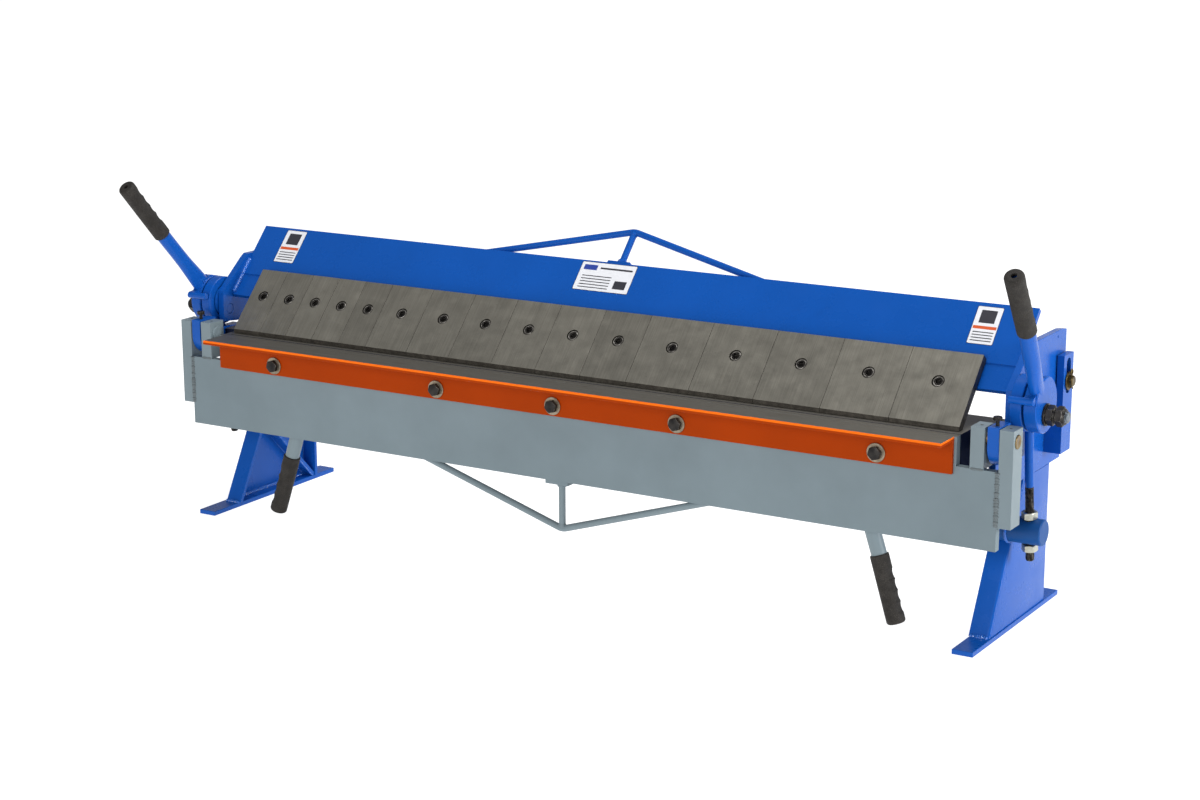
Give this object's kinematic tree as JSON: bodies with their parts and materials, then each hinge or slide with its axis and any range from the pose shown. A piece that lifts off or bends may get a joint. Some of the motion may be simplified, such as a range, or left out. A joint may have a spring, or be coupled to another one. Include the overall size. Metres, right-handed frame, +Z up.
{
  "type": "sheet metal brake",
  "caption": "Bench-top box-and-pan sheet metal brake with removable fingers, hinged bending leaf, eccentric clamping beam and welded stands.",
  "frame": {"origin": "middle of the brake's footprint box, on the bench top", "axes": "+X along the bend line to the operator's right, +Y from the operator to the back, +Z up"},
  "size_m": [1.482, 0.3832, 0.5336],
  "materials": {
    "blue_paint": "semi-gloss blue enamel",
    "grey_paint": "semi-gloss light grey enamel",
    "orange_paint": "semi-gloss orange enamel with a worn top edge",
    "finger_steel": "ground steel with a thin film of oil",
    "black_steel": "black oxide",
    "zinc": "bright zinc plate",
    "yellow_zinc": "yellow passivated zinc plate",
    "rubber": "matt black-brown rubber"
  },
  "bodies": {
    "frame": {"right_stand": "blue_paint", "left_stand": "blue_paint", "right_cheek_plate": "blue_paint", "left_cheek_plate": "blue_paint", "right_pivot_lug": "blue_paint", "left_pivot_lug": "blue_paint", "bed": "blue_paint"},
    "leaf": {"bending_leaf": "grey_paint", "right_inner_hinge_bar": "grey_paint", "left_inner_hinge_bar": "grey_paint", "right_outer_hinge_bar": "grey_paint", "left_outer_hinge_bar": "grey_paint", "right_leaf_pivot_pin": "yellow_zinc", "left_leaf_pivot_pin": "yellow_zinc", "angle_bar": "orange_paint", "angle_bolt_1": "black_steel", "angle_bolt_2": "black_steel", "angle_bolt_3": "black_steel", "angle_bolt_4": "black_steel", "angle_bolt_5": "black_steel", "leaf_truss_rod": "grey_paint", "right_leaf_handle": "grey_paint", "left_leaf_handle": "grey_paint", "right_leaf_grip": "rubber", "left_leaf_grip": "rubber"},
    "beam": {"beam_face_plate": "blue_paint", "clamp_bar": "finger_steel", "right_end_plate": "blue_paint", "left_end_plate": "blue_paint", "beam_truss_rod": "blue_paint", "right_rear_pin": "yellow_zinc", "left_rear_pin": "yellow_zinc", "right_eccentric_bolt": "black_steel", "left_eccentric_bolt": "black_steel", "finger_01": "finger_steel", "finger_02": "finger_steel", "finger_03": "finger_steel", "finger_04": "finger_steel", "finger_05": "finger_steel", "finger_06": "finger_steel", "finger_07": "finger_steel", "finger_08": "finger_steel", "finger_09": "finger_steel", "finger_10": "finger_steel", "finger_11": "finger_steel", "finger_12": "finger_steel", "finger_13": "finger_steel", "finger_14": "finger_steel", "finger_15": "finger_steel", "finger_16": "finger_steel"},
    "right_handle": {"right_clamp_handle": "blue_paint", "right_clamp_grip": "rubber"},
    "right_link": {"right_link_rod": "blue_paint", "right_upper_nut": "zinc", "right_lower_nut": "zinc"},
    "left_handle": {"left_clamp_handle": "blue_paint", "left_clamp_grip": "rubber"},
    "left_link": {"left_link_rod": "blue_paint", "left_upper_nut": "zinc", "left_lower_nut": "zinc"}
  },
  "joints": [
    {"name": "leaf_swing", "type": "hinge", "parent": "frame", "child": "leaf", "pos_m": [0, -0.0855, 0.29], "axis": [-1, 0, 0], "range_deg": [0, 115]},
    {"name": "beam_lift", "type": "hinge", "parent": "frame", "child": "beam", "pos_m": [0, 0.131, 0.326], "axis": [-1, 0, 0], "range_deg": [0, 3.25]},
    {"name": "right_handle_turn", "type": "hinge", "parent": "beam", "child": "right_handle", "pos_m": [0.699, -0.0245, 0.315], "axis": [-1, 0, 0], "range_deg": [0, 60]},
    {"name": "right_link_swing", "type": "hinge", "parent": "frame", "child": "right_link", "pos_m": [0.6835, 0, 0.147], "axis": [-1, 0, 0], "range_deg": [0, 3.1]},
    {"name": "left_handle_turn", "type": "hinge", "parent": "beam", "child": "left_handle", "pos_m": [-0.699, -0.0245, 0.315], "axis": [-1, 0, 0], "range_deg": [0, 60]},
    {"name": "left_link_swing", "type": "hinge", "parent": "frame", "child": "left_link", "pos_m": [-0.6835, 0, 0.147], "axis": [-1, 0, 0], "range_deg": [0, 3.1]}
  ],
  "couplings": [
    {"joint": "right_handle_turn", "follows": "beam_lift", "ratio": 18.39},
    {"joint": "right_link_swing", "follows": "beam_lift", "ratio": 0.9488},
    {"joint": "left_handle_turn", "follows": "beam_lift", "ratio": 18.39},
    {"joint": "left_link_swing", "follows": "beam_lift", "ratio": 0.9488}
  ]
}
